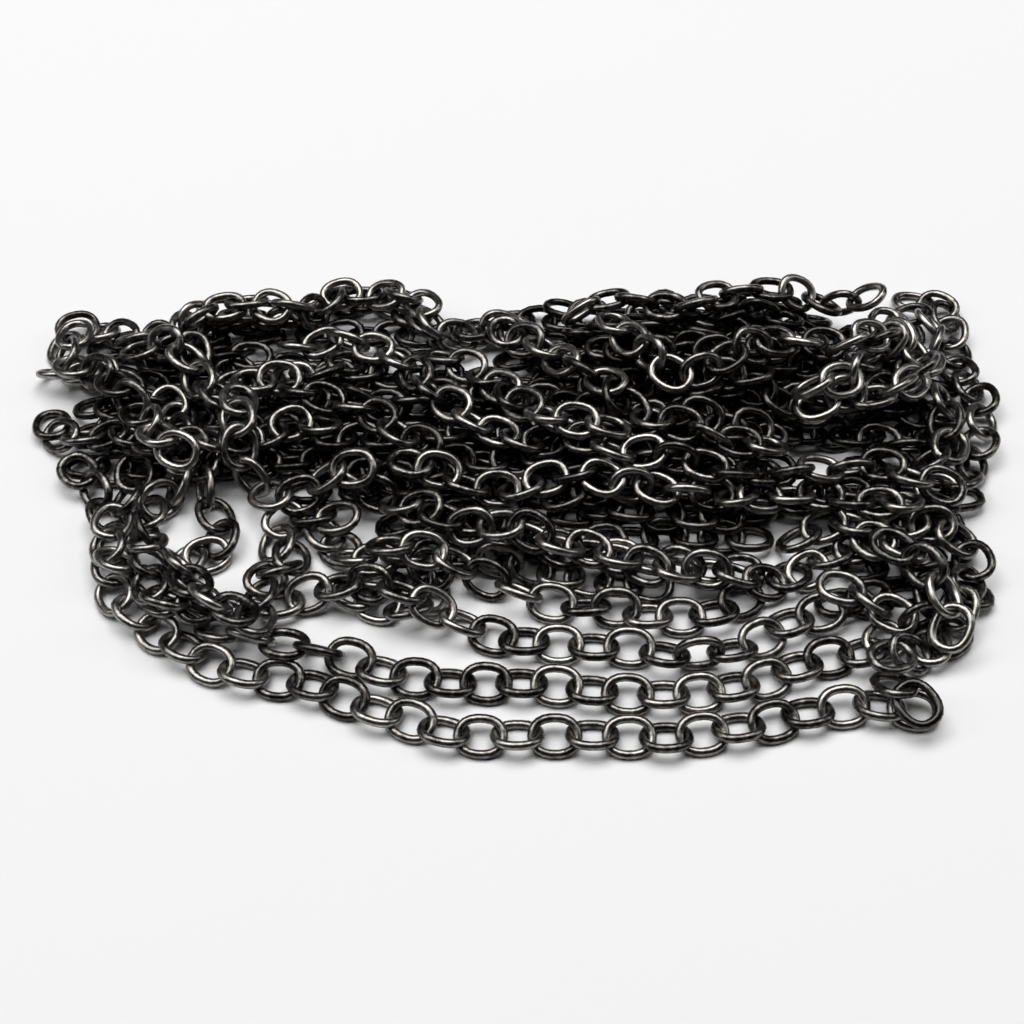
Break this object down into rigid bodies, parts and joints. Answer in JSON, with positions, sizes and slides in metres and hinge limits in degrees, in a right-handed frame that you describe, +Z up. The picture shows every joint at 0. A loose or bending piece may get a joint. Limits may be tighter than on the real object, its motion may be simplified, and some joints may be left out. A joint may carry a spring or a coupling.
{
  "type": "heap of fine iron chain",
  "caption": "Heap of dark plated iron oval-link cable chain, one length folded back and forth in a low pile on a level surface.",
  "frame": {"origin": "middle of the heap's outline on the surface it lies on", "axes": "+X along the heap, +Y towards its back, +Z up"},
  "size_m": [0.1644, 0.0989, 0.017],
  "materials": {
    "plated_iron": "dark gunmetal plating, burnished",
    "shaded_chain": "dark gunmetal plating in shade"
  },
  "bodies": {
    "root": {"front_edge_1": "plated_iron", "front_edge_2": "plated_iron", "front_edge_3": "plated_iron", "front_edge_4": "plated_iron", "second_row_1": "plated_iron", "second_row_2": "plated_iron", "second_row_3": "plated_iron", "third_row_1": "plated_iron", "third_row_2": "plated_iron", "fourth_row": "plated_iron", "inner_low": "plated_iron", "back_edge_1": "plated_iron", "back_edge_2": "plated_iron", "back_edge_3": "plated_iron", "back_upper_1": "plated_iron", "back_upper_2": "plated_iron", "right_edge_1": "plated_iron", "right_edge_2": "plated_iron", "right_end": "plated_iron", "right_corner_1": "plated_iron", "right_corner_2": "plated_iron", "middle_fold": "plated_iron", "inner_left": "plated_iron", "left_hook": "plated_iron", "left_turn_1": "plated_iron", "left_turn_2": "plated_iron", "left_cross": "plated_iron", "left_rings": "plated_iron", "left_ridge": "plated_iron", "fifth_row_1": "plated_iron", "fifth_row_2": "plated_iron", "right_middle": "plated_iron", "sixth_row_1": "plated_iron", "sixth_row_2": "plated_iron", "seventh_row_1": "plated_iron", "seventh_row_2": "plated_iron", "left_fill": "plated_iron", "eighth_row": "plated_iron", "ninth_row": "plated_iron", "tenth_row": "plated_iron", "upper_row": "plated_iron", "right_hook": "plated_iron", "right_inner": "plated_iron", "back_slope_1": "plated_iron", "back_slope_2": "plated_iron", "crest": "plated_iron", "hidden_turns": "shaded_chain"}
  },
  "joints": []
}
